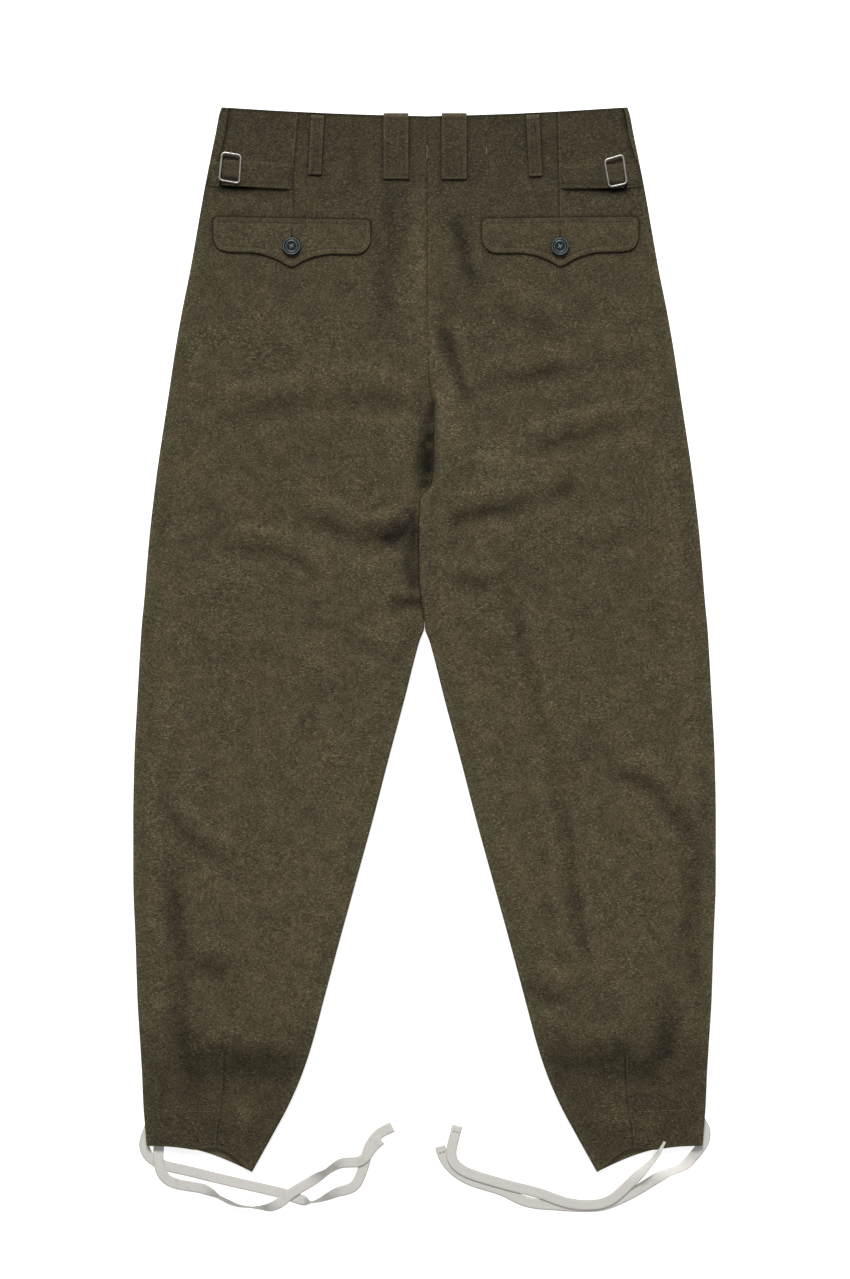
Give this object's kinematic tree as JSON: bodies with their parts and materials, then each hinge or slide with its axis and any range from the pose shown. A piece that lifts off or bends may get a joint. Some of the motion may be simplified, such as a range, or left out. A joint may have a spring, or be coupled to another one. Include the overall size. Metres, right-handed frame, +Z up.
{
  "type": "paratrooper trousers",
  "caption": "Heavy wool trousers with tapered legs, laid flat with the back side up: flap pockets, belt loops, waist straps with wire buckles, and tie tapes at the hems.",
  "frame": {"origin": "middle of the trousers on the surface that they lie on, the tapes left out", "axes": "+Y to the waist, +X to the right seen from above, +Z up through the front to the back side"},
  "size_m": [0.5832, 1.105, 0.0112],
  "materials": {
    "wool": "napped melange wool",
    "cotton_tape": "plain cotton twill tape",
    "buckle_steel": "bright drawn wire",
    "button": "dull blue-grey"
  },
  "bodies": {
    "root": {"back_left": "wool", "back_right": "wool", "belt_loop_narrow_left": "wool", "belt_loop_narrow_right": "wool", "belt_loop_wide_left": "wool", "belt_loop_wide_right": "wool", "buckle_left": "buckle_steel", "buckle_right": "buckle_steel", "buckle_tab_left": "wool", "buckle_tab_right": "wool", "fly_underlap": "wool", "front_left": "wool", "front_right": "wool", "hem_tape_left_inner": "cotton_tape", "hem_tape_left_outer": "cotton_tape", "hem_tape_right_inner": "cotton_tape", "hem_tape_right_outer": "cotton_tape", "pocket_button_left": "button", "pocket_button_right": "button", "pocket_flap_left": "wool", "pocket_flap_right": "wool", "waist_strap_left": "wool", "waist_strap_right": "wool"}
  },
  "joints": []
}
